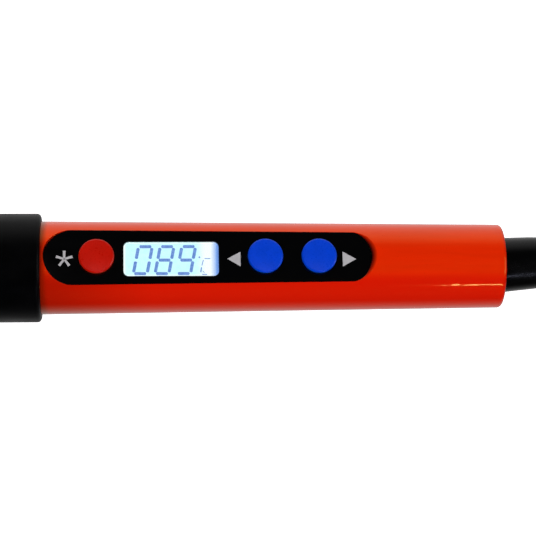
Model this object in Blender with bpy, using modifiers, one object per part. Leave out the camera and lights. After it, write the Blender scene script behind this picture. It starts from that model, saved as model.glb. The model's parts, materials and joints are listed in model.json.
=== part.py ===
"""Digital waxing iron: a heated sole plate on a pen-style handle with a temperature display.

Constants are in millimetres and the scene is in metres, +Z up. The iron is built in its handle frame:
X runs along the handle towards the cord, Z points out of the display, and X = 0 is the rear edge of the grip.
"""

import math

import bmesh
import bpy
from mathutils import Matrix, Vector

MM = 0.001
GAP = 0.3
QUARTER = math.pi / 2

# Handle tube
TUBE_R = 11.0
TUBE_TAPER = 0.0097
TUBE_WALL = 1.5
TUBE_REAR = 109.2
TUBE_FRONT = -46.0
TUBE_EDGE = 1.0
REAR_WALL = 2.4
REAR_HOLE_R = 7.0

# Grip and its roll guard
GRIP_R = 12.83
GRIP_WAIST_R = 12.2
GUARD_R = 17.0
GUARD_FLAT = 16.2
GUARD_WIDTH = 6.0
GUARD_SIDES = 8

# Panel recess
PANEL_H = 8.82
PANEL_FALL = 0.0052
PANEL_FRONT = 0.6
PANEL_REAR = 78.6
PANEL_HALF_FRONT = 6.57
PANEL_HALF_REAR = 5.84
FASCIA_T = 1.0
LENS_T = 0.9
WINDOW_X = 30.5
WINDOW_Y = -0.47
WINDOW_LENGTH = 22.6
WINDOW_WIDTH = 8.6
WINDOW_CORNER = 1.2

# Buttons, named for what they do, with their places along the handle
BUTTONS = {"power": 12.98, "down": 52.21, "up": 64.76}
BUTTON_R = 4.185
BUTTON_PROUD = 1.75
BUTTON_DOME = 0.35
FLANGE_R = 4.9
FLANGE_T = 0.6
PLUNGER_R = 1.6
SWITCH_SIDE = 6.0
SWITCH_H = 3.4

# Depths below the panel face
LCD_TOP = FASCIA_T + GAP
LCD_T = 2.0
BOARD_TOP = 7.9
BOARD_T = 1.6
BOARD_FRONT = -30.0
BOARD_REAR = 86.0
BOARD_WIDTH = 16.0

# Tray under the board, and the clamp that holds the cord's end
TRAY_R = 8.1
TRAY_WALL = 1.0
TRAY_FRONT = -32.0
TRAY_REAR = 104.0
CLAMP_X = 96.0
CLAMP_Y = 4.4
CLAMP_LOW = 2.8
CLAMP_T = 1.8
SCREW_CORE_R = 1.0
SCREW_HOLE_R = 1.3

# Heater and sole
INSERT_REAR = -39.0
BARREL_R = 5.5
BARREL_WALL = 0.7
BARREL_FLANGE_R = 10.9
FLANGE_REAR = -47.2
FLANGE_FRONT = -48.4
BARREL_NOSE = -86.0
BARREL_FRONT = -96.0
VENT_R = 1.5
VENT_ROWS = (-55.0, -61.0)
SCREW_RING_R = 7.5
TIP_SCREW_X = -91.0
ELEMENT_R = 2.8
SHANK_R = 4.0
SOLE_LENGTH = 48.0
SOLE_WIDTH = 34.0
SOLE_T = 6.4
SOLE_X = -122.0
SOLE_Z = -8.0
SOLE_TILT = math.radians(12)
SOLE_CORNER = 4.0
TOE_CORNER = 13.0
BOSS_R = 7.0
BOSS_REAR = -101.0
BOSS_LENGTH = 24.0
BOSS_BORE = 18.0
SOLE_SCREW_X = -109.0

# Place of the earth lead across the handle
EARTH_Y = 5.6
EARTH_Z = -2.1

# Cord
BOOT_R = 6.5
BOOT_TIP_R = 4.3
BOOT_FLANGE_R = 8.1
BOOT_FLANGE_T = 1.2
BOOT_SMOOTH_END = 120.0
BOOT_SLOPE = 0.045
BOOT_RIBS = 5
BOOT_REAR = 147.0
BOOT_SWAY = 1.02
CORD_D = 4.8
CORD_R = CORD_D / 2
HANK_X = 170.0
HANK_RUN = 45.0
HANK_INNER = 3 * CORD_D
HANK_LAYERS = 3
LEAD_KNOTS = [(149.8, 0, 7.95), (153.0, 0, 7.75), (159.0, 0.9, 6.6), (164.8, 3.56, 5.0)]
TAIL_KNOTS = [(192.0, 14.4, 18.0), (202.0, 14.4, 18.3), (212.0, 14.4, 18.8), (223.0, 14.3, 18.6),
              (234.0, 13.0, 18.3), (244.0, 8.2, 18.3), (254.0, 2.4, 18.3), (259.0, 0.4, 18.2)]
TIE_T = 0.5
TIE_W = 8.0
HANK_Z = TIE_T + GAP
PLUG_R = 18.5
PLUG_Z = PLUG_R - 0.3
PLUG_X = 263.0
PLUG_BODY = 34.0
PLUG_NECK_R = 5.5
PLUG_NECK = 9.0
PIN_R = 2.4
PIN_LENGTH = 19.0
PIN_Y = 9.5

# The iron lies on the guard and on the rear end of the tube
REST_FRONT_X = TUBE_FRONT + GUARD_WIDTH
REST_REAR_X = TUBE_REAR - 0.9
REST_REAR_R = TUBE_R - TUBE_TAPER * REST_REAR_X
LIE = math.atan((GUARD_FLAT - REST_REAR_R) / (REST_REAR_X - REST_FRONT_X))
AXIS_Z = GUARD_FLAT * math.cos(LIE) + REST_FRONT_X * math.sin(LIE)
ORIGIN_X = -0.5

for old in list(bpy.data.objects):
    bpy.data.objects.remove(old, do_unlink=True)

parts = bpy.data.collections.new("waxing_iron")
cutters = bpy.data.collections.new("cutters")
bpy.context.scene.collection.children.link(parts)
bpy.context.scene.collection.children.link(cutters)


def empty(name, location, turn, parent=None):
    """A frame that parts are placed in."""
    holder = bpy.data.objects.new(name, None)
    holder.location = Vector(location) * MM
    holder.rotation_euler = (0, turn, 0)
    holder.parent = parent
    parts.objects.link(holder)
    return holder


iron = empty("iron_frame", (ORIGIN_X, 0, AXIS_Z), LIE)
panel = empty("panel_frame", (0, 0, PANEL_H), math.atan(PANEL_FALL), iron)
sole = empty("sole_frame", (SOLE_X, 0, SOLE_Z), SOLE_TILT, iron)


def material(name, colour, rough, metal=0.0, alpha=1.0):
    made = bpy.data.materials.new(name)
    made.use_nodes = True
    shader = made.node_tree.nodes["Principled BSDF"]
    shader.inputs["Base Color"].default_value = (*colour, 1)
    shader.inputs["Roughness"].default_value = rough
    shader.inputs["Metallic"].default_value = metal
    shader.inputs["Alpha"].default_value = alpha
    return made


def place(made, name, paint, parent, location=(0, 0, 0), turn=(0, 0, 0)):
    """Name an object, colour it and put it in its frame."""
    made.name = name
    made.data.materials.clear()
    made.data.materials.append(material(name, *paint))
    made.parent = parent
    made.location = Vector(location) * MM
    made.rotation_euler = turn
    if not made.users_collection:
        parts.objects.link(made)
    if made.type == "MESH":
        made.data.shade_smooth()
        made.data.set_sharp_from_angle(angle=math.radians(35))
    return made


def carve(target, tool, name, parent, location=(0, 0, 0), turn=(0, 0, 0), operation="DIFFERENCE"):
    """Cut a tool out of a part, join it on or keep what they share. The tool stays hidden beside the parts."""
    place(tool, name, BLACK_PLASTIC, parent, location, turn)
    for owner in list(tool.users_collection):
        owner.objects.unlink(tool)
    cutters.objects.link(tool)
    tool.hide_render = True
    tool.display_type = "WIRE"
    change = target.modifiers.new(operation.lower() + "_" + name, "BOOLEAN")
    change.operation = operation
    change.solver = "EXACT"
    change.object = tool


def lathe(outline, steps=48, ring=False):
    """A turned body about its own Z. The outline is (z, radius) pairs down the outer side, top to bottom."""
    mesh = bpy.data.meshes.new("outline")
    count = len(outline)
    edges = [(i, (i + 1) % count) for i in range(count if ring else count - 1)]
    mesh.from_pydata([(r * MM, 0, z * MM) for z, r in outline], edges, [])
    made = bpy.data.objects.new("lathe", mesh)
    parts.objects.link(made)
    screw = made.modifiers.new("turn", "SCREW")
    screw.axis = "Z"
    screw.angle = math.tau
    screw.steps = screw.render_steps = steps
    screw.use_merge_vertices = True
    screw.merge_threshold = 0.00001
    screw.use_smooth_shade = True
    return made


def box(size):
    """A box centred on its origin."""
    shape = bmesh.new()
    bmesh.ops.create_cube(shape, size=1, matrix=Matrix.Diagonal((*(Vector(size) * MM), 1)))
    mesh = bpy.data.meshes.new("box")
    shape.to_mesh(mesh)
    shape.free()
    return bpy.data.objects.new("box", mesh)


def cone(radius_low, radius_high, height, sides):
    """A frustum about its own Z, centred on its origin."""
    shape = bmesh.new()
    bmesh.ops.create_cone(shape, cap_ends=True, segments=sides, depth=height * MM,
                          radius1=radius_low * MM, radius2=radius_high * MM)
    mesh = bpy.data.meshes.new("cone")
    shape.to_mesh(mesh)
    shape.free()
    return bpy.data.objects.new("cone", mesh)


def drum(radius, height, sides=24):
    return cone(radius, radius, height, sides)


def evaluated_mesh(made):
    """A mesh of what an object's curve or modifiers give."""
    bpy.context.view_layer.update()
    return bpy.data.meshes.new_from_object(made.evaluated_get(bpy.context.evaluated_depsgraph_get()))


def as_mesh(curve_object):
    """A curve's filled shape as a closed mesh object."""
    parts.objects.link(curve_object)
    mesh = evaluated_mesh(curve_object)
    shape = bmesh.new()
    shape.from_mesh(mesh)
    bmesh.ops.remove_doubles(shape, verts=shape.verts, dist=0.000001)
    bmesh.ops.dissolve_limit(shape, angle_limit=0.01, verts=shape.verts, edges=shape.edges)
    shape.to_mesh(mesh)
    shape.free()
    made = bpy.data.objects.new("plate", mesh)
    made.matrix_world = curve_object.matrix_world.copy()
    bpy.data.objects.remove(curve_object)
    return made


def plate(outline, thickness):
    """A flat outline of (x, y) points given a thickness, centred on its own plane."""
    curve = bpy.data.curves.new("plate", "CURVE")
    curve.dimensions = "2D"
    curve.fill_mode = "BOTH"
    curve.extrude = thickness * MM / 2
    spline = curve.splines.new("POLY")
    spline.points.add(len(outline) - 1)
    for point, (x, y) in zip(spline.points, outline):
        point.co = (x * MM, y * MM, 0, 1)
    spline.use_cyclic_u = True
    return as_mesh(bpy.data.objects.new("plate", curve))


def arc(centre, radius, start, end, steps):
    """Points on an arc between two angles in degrees, both ends included."""
    turns = [math.radians(start + (end - start) * i / steps) for i in range(steps + 1)]
    return [(centre[0] + radius * math.cos(t), centre[1] + radius * math.sin(t)) for t in turns]


def rounded(length, width, radius, steps=4, front_radius=None):
    """A rectangle with round corners, whose two corners at -X may differ."""
    x, y, front = length / 2, width / 2, front_radius or radius
    return (arc((x - radius, y - radius), radius, 0, 90, steps)
            + arc((front - x, y - front), front, 90, 180, steps)
            + arc((front - x, front - y), front, 180, 270, steps)
            + arc((x - radius, radius - y), radius, 270, 360, steps))


def smooth_route(knots, steps=4):
    """Points on a Catmull-Rom curve through the knots."""
    pts = [Vector(k) for k in knots]
    pts = [2 * pts[0] - pts[1], *pts, 2 * pts[-1] - pts[-2]]
    route = []
    for a, b, c, d in zip(pts, pts[1:], pts[2:], pts[3:]):
        for i in range(steps):
            t = i / steps
            route.append(0.5 * (2 * b + (c - a) * t + (2 * a - 5 * b + 4 * c - d) * t**2
                                + (3 * b - a - 3 * c + d) * t**3))
    return route + [pts[-2]]


def wire(name, knots, radius, paint, parent, resolution=2, steps=4):
    """A round lead along a smooth route."""
    curve = bpy.data.curves.new(name, "CURVE")
    curve.dimensions = "3D"
    curve.bevel_depth = radius * MM
    curve.bevel_resolution = resolution
    curve.use_fill_caps = True
    route = smooth_route(knots, steps)
    spline = curve.splines.new("POLY")
    spline.points.add(len(route) - 1)
    for point, at in zip(spline.points, route):
        point.co = (*(at * MM), 1)
    return place(bpy.data.objects.new(name, curve), name, paint, parent)


def bevel(made, width, segments=2):
    edge = made.modifiers.new("edges", "BEVEL")
    edge.width = width * MM
    edge.segments = segments
    edge.limit_method = "ANGLE"
    edge.angle_limit = math.radians(50)
    return made


def panel_outline(inset, steps=12):
    """The tapered pill outline of the recess, drawn in by inset."""
    front, rear = PANEL_HALF_FRONT - inset, PANEL_HALF_REAR - inset
    return (arc((PANEL_REAR - PANEL_HALF_REAR, 0), rear, -90, 90, steps)
            + arc((PANEL_FRONT + PANEL_HALF_FRONT, 0), front, 90, 270, steps))


ALONG = (0, QUARTER, 0)
ORANGE = ((0.74, 0.02, 0.002), 0.22)
BLACK_RUBBER = ((0.012, 0.012, 0.012), 0.55)
BLACK_GLOSS = ((0.004, 0.004, 0.005), 0.08)
RED = ((0.45, 0.008, 0.003), 0.3)
BLUE = ((0.003, 0.05, 0.55), 0.3)
BLACK_PLASTIC = ((0.02, 0.02, 0.02), 0.45)
STEEL = ((0.6, 0.6, 0.6), 0.3, 1.0)
BLACK_STEEL = ((0.03, 0.03, 0.03), 0.4, 1.0)
COPPER = ((0.72, 0.35, 0.2), 0.3, 1.0)
ALUMINIUM = ((0.75, 0.75, 0.76), 0.25, 1.0)
CERAMIC = ((0.85, 0.84, 0.8), 0.5)
PHENOLIC = ((0.1, 0.05, 0.03), 0.6)
MICA = ((0.6, 0.5, 0.3), 0.4)
CLEAR = ((0.8, 0.95, 1.0), 0.05, 0.0, 0.35)
LIT_CELL = ((0.55, 0.9, 1.0), 0.1)
LIGHT_GUIDE = ((0.8, 0.95, 1.0), 0.3)
STRIP_RUBBER = ((0.5, 0.2, 0.3), 0.6)
BOARD_GREEN = ((0.01, 0.16, 0.05), 0.4)
CAPACITOR_YELLOW = ((0.6, 0.45, 0.02), 0.4)
CAPACITOR_SLEEVE = ((0.02, 0.02, 0.05), 0.35)
WHITE_SLEEVING = ((0.8, 0.78, 0.72), 0.5)
BLUE_INSULATION = ((0.02, 0.1, 0.5), 0.5)
BROWN_INSULATION = ((0.12, 0.04, 0.02), 0.5)
GREEN_INSULATION = ((0.3, 0.45, 0.02), 0.5)
TIE_FABRIC = ((0.02, 0.02, 0.02), 0.8)


# ---- Handle ----

def tube_radius(x):
    return TUBE_R - TUBE_TAPER * x


def housing_tube():
    """The tapered tube, open at the front, with a rear wall round the cord boot and the panel recess."""
    inner_rear = TUBE_REAR - REAR_WALL
    edge_x, edge_r = TUBE_REAR - TUBE_EDGE, tube_radius(TUBE_REAR) - TUBE_EDGE
    edge = [(edge_x + TUBE_EDGE * math.cos(t), edge_r + TUBE_EDGE * math.sin(t))
            for t in (0, QUARTER / 3, 2 * QUARTER / 3, QUARTER)]
    outline = [(TUBE_REAR, REAR_HOLE_R), *edge, (TUBE_FRONT, tube_radius(TUBE_FRONT)),
               (TUBE_FRONT, tube_radius(TUBE_FRONT) - TUBE_WALL),
               (inner_rear, tube_radius(inner_rear) - TUBE_WALL), (inner_rear, REAR_HOLE_R)]
    tube = place(lathe(outline, 64, ring=True), "housing_tube", ORANGE, iron, turn=ALONG)
    depth = 8.0
    carve(tube, plate(panel_outline(0), depth), "recess_cutter", panel, (0, 0, depth / 2 - FASCIA_T - GAP))
    carve(tube, plate(rounded(72, 11.0, 4.5), depth), "opening_cutter", panel, (39.4, 0, -depth / 2))


def panel_fascia():
    """The black plate in the recess, with holes for the buttons and a window for the display."""
    fascia = place(plate(panel_outline(GAP), FASCIA_T), "panel_fascia", BLACK_GLOSS, panel,
                   (0, 0, -FASCIA_T / 2))
    for name, x in BUTTONS.items():
        carve(fascia, drum(BUTTON_R + GAP, 4 * FASCIA_T, 32), name + "_hole_cutter", panel, (x, 0, 0))
    window = rounded(WINDOW_LENGTH + 2 * GAP, WINDOW_WIDTH + 2 * GAP, WINDOW_CORNER + GAP)
    carve(fascia, plate(window, 4 * FASCIA_T), "window_cutter", panel, (WINDOW_X, WINDOW_Y, 0))


def display():
    """The clear lens, the liquid crystal cell, its backlight and the rubber strip that connects it."""
    place(plate(rounded(WINDOW_LENGTH, WINDOW_WIDTH, WINDOW_CORNER), LENS_T), "display_lens", CLEAR, panel,
          (WINDOW_X, WINDOW_Y, -LENS_T / 2))
    length, width = WINDOW_LENGTH + 2.0, 10.0
    place(box((length, width, LCD_T)), "lcd_glass", LIT_CELL, panel, (WINDOW_X, 0, -LCD_TOP - LCD_T / 2))
    low = LCD_TOP + LCD_T + GAP
    thick = BOARD_TOP - GAP - low
    place(box((length - 3, 8.0, thick)), "backlight_guide", LIGHT_GUIDE, panel,
          (WINDOW_X, -0.8, -low - thick / 2))
    place(box((length - 1, 1.2, thick)), "lcd_connector_strip", STRIP_RUBBER, panel,
          (WINDOW_X, 4.2, -low - thick / 2))


def button(name, x, paint):
    """A domed cap held under the fascia by its flange, with the plunger of the switch below it."""
    top, step, stem_r, stem = BUTTON_PROUD, 3, 2.2, 1.0
    low = -FASCIA_T - GAP
    stem_low = low - FLANGE_T - stem
    dome = [(top - BUTTON_DOME * (i / step) ** 2, 0.9 * BUTTON_R * i / step) for i in range(step + 1)]
    outline = [*dome, (top - 0.55, 0.975 * BUTTON_R), (top - 0.9, BUTTON_R), (low, BUTTON_R),
               (low, FLANGE_R), (low - FLANGE_T, FLANGE_R), (low - FLANGE_T, stem_r), (stem_low, stem_r),
               (stem_low, 0)]
    place(lathe(outline, 20), name + "_button", paint, panel, (x, 0, 0))
    plunger_top = stem_low - GAP
    body_top = GAP - BOARD_TOP + SWITCH_H
    plunger_low = body_top - 1.0
    place(lathe([(plunger_top, 0), (plunger_top, PLUNGER_R), (plunger_low, PLUNGER_R), (plunger_low, 0)], 16),
          name + "_plunger", BLACK_PLASTIC, panel, (x, 0, 0))
    body = place(box((SWITCH_SIDE, SWITCH_SIDE, SWITCH_H)), name + "_switch", STEEL, panel,
                 (x, 0, body_top - SWITCH_H / 2))
    well_depth = 2.2
    carve(body, drum(PLUNGER_R + GAP, 2 * well_depth, 16), name + "_well_cutter", panel, (x, 0, body_top))


def main_board():
    """The circuit board and the parts that hang under it."""
    length = BOARD_REAR - BOARD_FRONT
    middle = (BOARD_REAR + BOARD_FRONT) / 2
    place(box((length, BOARD_WIDTH, BOARD_T)), "main_board", BOARD_GREEN, panel,
          (middle, 0, -BOARD_TOP - BOARD_T / 2))
    under = -BOARD_TOP - BOARD_T - GAP
    for name, x, size, paint in (
            ("microcontroller", 30, (7, 7, 1.4), BLACK_PLASTIC),
            ("triac", 72, (14, 9, 3.6), BLACK_PLASTIC),
            ("film_capacitor", 52, (13, 6, 4.6), CAPACITOR_YELLOW)):
        place(bevel(box(size), 0.3, 1), name, paint, panel, (x, 0, under - size[2] / 2))
    can_r, half, edge = 2.4, 4.5, 0.3
    can = [(half, 0), (half, can_r - edge), (half - edge, can_r), (edge - half, can_r), (-half, can_r - edge),
           (-half, 0)]
    place(lathe(can, 20), "electrolytic_capacitor", CAPACITOR_SLEEVE, panel, (10, 0, under - can_r), ALONG)


def board_carrier():
    """The half-round tray under the board, with two bosses that take the cord clamp's screws."""
    inner = TRAY_R - TRAY_WALL
    outline = [(TRAY_REAR, TRAY_R), (TRAY_FRONT, TRAY_R), (TRAY_FRONT, inner), (TRAY_REAR, inner)]
    tray = place(lathe(outline, 48, ring=True), "board_carrier", BLACK_PLASTIC, iron, turn=ALONG)
    length, middle, rim_z = TRAY_REAR - TRAY_FRONT + 4, (TRAY_REAR + TRAY_FRONT) / 2, -3.2
    carve(tray, box((length, 20, 20)), "tray_cutter", iron, (middle, 0, 10 + rim_z))
    for number, y in enumerate((CLAMP_Y, -CLAMP_Y), 1):
        carve(tray, box((5, 3.2, 3.6)), f"boss_{number}", iron, (CLAMP_X, y, -3.0), operation="UNION")
        carve(tray, drum(SCREW_HOLE_R, 6, 12), f"boss_hole_{number}", iron, (CLAMP_X, y, -1.2))


def cord_clamp():
    """The bar that holds the cord's end down, and its two screws."""
    bar = place(bevel(box((5, 12, CLAMP_T)), 0.4, 1), "cord_clamp", BLACK_PLASTIC, iron,
                (CLAMP_X, 0, CLAMP_LOW + CLAMP_T / 2))
    head, head_r, screw_low = CLAMP_LOW + CLAMP_T + GAP, 1.9, -3.6
    outline = [(head + 0.9, 0), (head + 0.9, head_r - 0.5), (head + 0.5, head_r), (head, head_r),
               (head, SCREW_CORE_R), (screw_low, SCREW_CORE_R), (screw_low, 0)]
    for number, y in enumerate((CLAMP_Y, -CLAMP_Y), 1):
        carve(bar, drum(SCREW_HOLE_R, 6, 12), f"clamp_hole_{number}", iron, (CLAMP_X, y, 4))
        place(lathe(outline, 16), f"clamp_screw_{number}", STEEL, iron, (CLAMP_X, y, 0))


def grip_sleeve():
    """The rubber grip: a collar at the rear, a slight waist, and an eight-sided roll guard at the front."""
    bore_front, bore_rear = tube_radius(TUBE_FRONT) + GAP, tube_radius(0) + GAP
    guard_rear, outer, edge = TUBE_FRONT + GUARD_WIDTH, GUARD_R + 0.4, 0.8
    collar_edge = [(math.sin(t) - 1.0, GRIP_R - 1.0 + math.cos(t)) for t in (QUARTER, QUARTER / 2, 0)]
    waist = [(x, GRIP_R - (GRIP_R - GRIP_WAIST_R) * math.sin(math.pi * (x + 10) / (guard_rear + 13)) ** 2)
             for x in (-10, -18, -26, -33)]
    flare = [(guard_rear + 3 - 3 * math.sin(t), GRIP_WAIST_R + 3.3 - 3 * math.cos(t))
             for t in (0.3, 0.8, 1.3)]
    outline = [(0, bore_rear), *collar_edge, *waist, *flare, (guard_rear, outer - 1.2),
               (guard_rear - edge, outer), (TUBE_FRONT + edge, outer), (TUBE_FRONT, outer - 1.2),
               (TUBE_FRONT, bore_front)]
    sleeve = place(lathe(outline, 40, ring=True), "grip_sleeve", BLACK_RUBBER, iron, turn=ALONG)
    length = 120.0
    corner = 1 / math.cos(math.pi / GUARD_SIDES)
    spread = length / 2 * math.tan(LIE)
    sides = cone((GUARD_FLAT + spread) * corner, (GUARD_FLAT - spread) * corner, length, GUARD_SIDES)
    sides.data.transform(Matrix.Rotation(math.pi / GUARD_SIDES, 4, "Z"))
    carve(sleeve, sides, "guard_sides", iron, (guard_rear, 0, 0), ALONG, "INTERSECT")


# ---- Heater ----

def screw_places():
    return [(SCREW_RING_R * math.cos(t), SCREW_RING_R * math.sin(t))
            for t in (QUARTER, QUARTER + math.tau / 3, QUARTER + 2 * math.tau / 3)]


def pierced(target, name, x, depth, earth=True):
    """The barrel screws' holes through a turned part along the handle, and the earth lead's."""
    for number, (y, z) in enumerate(screw_places(), 1):
        carve(target, drum(SCREW_HOLE_R, depth, 10), f"{name}_screw_hole_{number}", iron, (x, y, z), ALONG)
    if earth:
        carve(target, drum(0.9, depth, 10), name + "_earth_hole", iron, (x, EARTH_Y, EARTH_Z), ALONG)


def front_insert():
    """The heat-resistant plug in the front of the tube, and the mica washer in front of it."""
    radius, mica_r, bore = 9.6, 10.6, 4.6
    insert = lathe([(INSERT_REAR, radius), (TUBE_FRONT, radius), (TUBE_FRONT, bore), (INSERT_REAR, bore)], 40,
                   ring=True)
    pierced(place(insert, "front_insert", PHENOLIC, iron, turn=ALONG), "insert", -43.0, 20)
    rear, front = TUBE_FRONT - GAP, FLANGE_REAR + GAP
    mica = lathe([(rear, mica_r), (front, mica_r), (front, bore), (rear, bore)], 40, ring=True)
    pierced(place(mica, "mica_washer", MICA, iron, turn=ALONG), "mica", (rear + front) / 2, 6)


def heater_barrel():
    """The vented steel barrel with its flange, narrowed at the front to hold the shank."""
    inner, nose, fillet = BARREL_R - BARREL_WALL, SHANK_R + GAP, 0.2
    outline = [(FLANGE_REAR, BARREL_FLANGE_R), (FLANGE_FRONT, BARREL_FLANGE_R),
               (FLANGE_FRONT, BARREL_R + fillet), (FLANGE_FRONT - fillet, BARREL_R),
               (BARREL_FRONT + 0.6, BARREL_R), (BARREL_FRONT, BARREL_R - 0.6), (BARREL_FRONT, nose),
               (BARREL_NOSE, nose), (BARREL_NOSE, inner), (FLANGE_REAR, inner)]
    barrel = place(lathe(outline, 32, ring=True), "heater_barrel", STEEL, iron, turn=ALONG)
    pierced(barrel, "flange", (FLANGE_REAR + FLANGE_FRONT) / 2, 6, earth=False)
    for row, x in enumerate(VENT_ROWS):
        for number in range(3):
            turn = math.pi * number / 3 + row * math.pi / 6
            carve(barrel, drum(VENT_R, 3 * BARREL_R, 12), f"vent_{row}_{number}", iron, (x, 0, 0), (turn, 0, 0))
    carve(barrel, drum(1.5, 8, 12), "tip_screw_cutter", iron, (TIP_SCREW_X, 0, SHANK_R + 4))


def barrel_screws():
    """The three slotted screws that hold the barrel to the front insert."""
    head, head_r, head_t, low = FLANGE_FRONT - GAP, 1.7, 1.3, -40.5
    outline = [(low, 0), (low, SCREW_CORE_R), (head, SCREW_CORE_R), (head, head_r), (head - 0.7, head_r),
               (head - head_t, head_r - 0.6), (head - head_t, 0)]
    for number, (y, z) in enumerate(screw_places(), 1):
        made = place(lathe(outline, 20), f"barrel_screw_{number}", STEEL, iron, (0, y, z), ALONG)
        carve(made, box((0.9, 0.6, 4)), f"slot_cutter_{number}", iron, (head - head_t, y, z),
              (math.pi * number / 5, 0, 0))


def heating_element():
    """The ceramic rod that heats the shank, with its collar."""
    rear, front, collar_rear, collar_front, collar_r, edge = -34.0, -100.6, -38.0, -45.0, 4.2, 0.6
    outline = [(rear, 0), (rear, ELEMENT_R), (collar_rear, ELEMENT_R), (collar_rear, collar_r),
               (collar_front, collar_r), (collar_front, ELEMENT_R), (front + edge, ELEMENT_R),
               (front, ELEMENT_R - edge), (front, 0)]
    place(lathe(outline, 24), "heating_element", CERAMIC, iron, turn=ALONG)


def sole_shank():
    """The copper rod that carries heat into the sole, bored from the rear for the element."""
    rear, bore_end, front, edge = -83.0, -101.5, -118.5, 0.5
    bore = ELEMENT_R + GAP
    outline = [(bore_end, 0), (bore_end, bore), (rear, bore), (rear, SHANK_R), (front + edge, SHANK_R),
               (front, SHANK_R - edge), (front, 0)]
    place(lathe(outline, 32), "sole_shank", COPPER, iron, turn=ALONG)


def sole_plate():
    """The flat sole with its toe rounded, and the socket on its back that takes the shank."""
    outline = rounded(SOLE_LENGTH, SOLE_WIDTH, SOLE_CORNER, 4, front_radius=TOE_CORNER)
    made = place(plate(outline, SOLE_T), "sole_plate", ALUMINIUM, sole)
    bevel(made, 1.0, 2)
    carve(made, box((21, 9, 9)), "web", sole, (4.5, 0, SOLE_T / 2 + 2.5), operation="UNION")
    middle = BOSS_REAR - BOSS_LENGTH / 2
    carve(made, drum(BOSS_R, BOSS_LENGTH, 36), "boss", iron, (middle, 0, 0), ALONG, "UNION")
    carve(made, drum(SHANK_R + GAP, 2 * BOSS_BORE, 32), "shank_bore", iron, (BOSS_REAR, 0, 0), ALONG)
    carve(made, drum(1.8, 8, 12), "sole_screw_cutter", iron, (SOLE_SCREW_X, 0, SHANK_R + 4))


def set_screw(name, x, radius, length):
    """A grub screw with a hexagon socket, pointing down at the shank."""
    low = SHANK_R + GAP
    top = low + length
    outline = [(top, 0), (top, radius - 0.2), (top - 0.2, radius), (low + 0.3, radius), (low, radius - 0.3),
               (low, 0)]
    made = place(lathe(outline, 16), name, BLACK_STEEL, iron, (x, 0, 0))
    carve(made, drum(0.55 * radius, 1.6, 6), name + "_socket", iron, (x, 0, top))


# ---- Wiring inside ----

def lead(name, side, knots, radius, paint):
    """One of a pair of leads that mirror each other about the handle's middle."""
    wire(name, [(x, side * y, z) for x, y, z in knots], radius, paint, iron, steps=2)


def leads():
    """The leads from the element to the board, and from the cord's end to the board and the barrel."""
    heater = [(-33.5, 1.0, 1.2), (-32.4, 1.1, 1.3), (-31.2, 1.5, 2.0), (-29, 2.2, 2.3), (-26, 2.6, 2.1)]
    sensor = [(-33.5, 1.0, -1.2), (-32.4, 1.1, -1.3), (-31.2, 1.5, -2.0), (-29, 2.2, -2.1), (-26, 2.6, -1.9)]
    mains = [(89.5, 1.2, 0.4), (88.7, 1.2, 0.0), (87.7, 1.4, -1.6), (86.2, 2.0, -2.9), (84.5, 2.6, -3.0),
             (83.0, 2.9, -2.3)]
    for number, side in enumerate((1, -1), 1):
        lead(f"heater_lead_{number}", side, heater, 0.5, WHITE_SLEEVING)
        lead(f"sensor_lead_{number}", side, sensor, 0.4, BLUE_INSULATION)
    lead("live_lead", 1, mains, 0.6, BROWN_INSULATION)
    lead("neutral_lead", -1, mains, 0.6, BLUE_INSULATION)
    earth = [(89.5, 0, -1.5), (88.6, 0, -1.9), (87.0, 0, -4.0), (83.0, 3.0, -4.6), (79.0, EARTH_Y, -2.8),
             (70, EARTH_Y, EARTH_Z - 0.2), (30, EARTH_Y, EARTH_Z), (0, EARTH_Y, EARTH_Z),
             (-30, EARTH_Y, EARTH_Z), (FLANGE_REAR + GAP, EARTH_Y, EARTH_Z)]
    wire("earth_lead", earth, 0.55, GREEN_INSULATION, iron, steps=3)


# ---- Cord ----

def exit_point():
    """Where the cord leaves its boot, in the world."""
    reach = BOOT_REAR + GAP
    return (ORIGIN_X + reach * math.cos(LIE), 0, AXIS_Z - reach * math.sin(LIE))


def strain_relief_boot():
    """The rubber boot, flanged inside the tube's rear wall, with bending slots past its smooth part.

    Behind the flange it sways to one side, as the cord pulls it.
    """
    flange = TUBE_REAR - REAR_WALL - GAP
    smooth_r = BOOT_R - BOOT_SLOPE * (BOOT_SMOOTH_END - TUBE_REAR)
    pitch = (BOOT_REAR - 3 - BOOT_SMOOTH_END) / BOOT_RIBS
    outline = [(BOOT_REAR, 0), (BOOT_REAR, BOOT_TIP_R - 0.4), (BOOT_REAR - 0.6, BOOT_TIP_R)]
    for i in reversed(range(BOOT_RIBS)):
        x = BOOT_SMOOTH_END + pitch * i
        share = (x - BOOT_SMOOTH_END) / (BOOT_REAR - BOOT_SMOOTH_END)
        radius = (1 - share) * smooth_r + share * BOOT_TIP_R
        outline += [(x + pitch, radius - 0.35), (x + 0.35 * pitch, radius), (x + 0.3 * pitch, radius - 0.75),
                    (x + 0.05 * pitch, radius - 0.75)]
    outline += [(BOOT_SMOOTH_END, smooth_r), (TUBE_REAR, BOOT_R), (flange, BOOT_R), (flange, BOOT_FLANGE_R),
                (flange - BOOT_FLANGE_T, BOOT_FLANGE_R), (flange - BOOT_FLANGE_T, 0)]
    straight = lathe(outline, 24)
    mesh = evaluated_mesh(straight)
    bpy.data.objects.remove(straight)
    for point in mesh.vertices:
        share = max(0, (point.co.z / MM - flange) / (BOOT_REAR - flange))
        point.co.y += BOOT_SWAY * MM * math.sin(math.pi * share)
    place(bpy.data.objects.new("boot", mesh), "strain_relief_boot", BLACK_RUBBER, iron, turn=ALONG)


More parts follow.
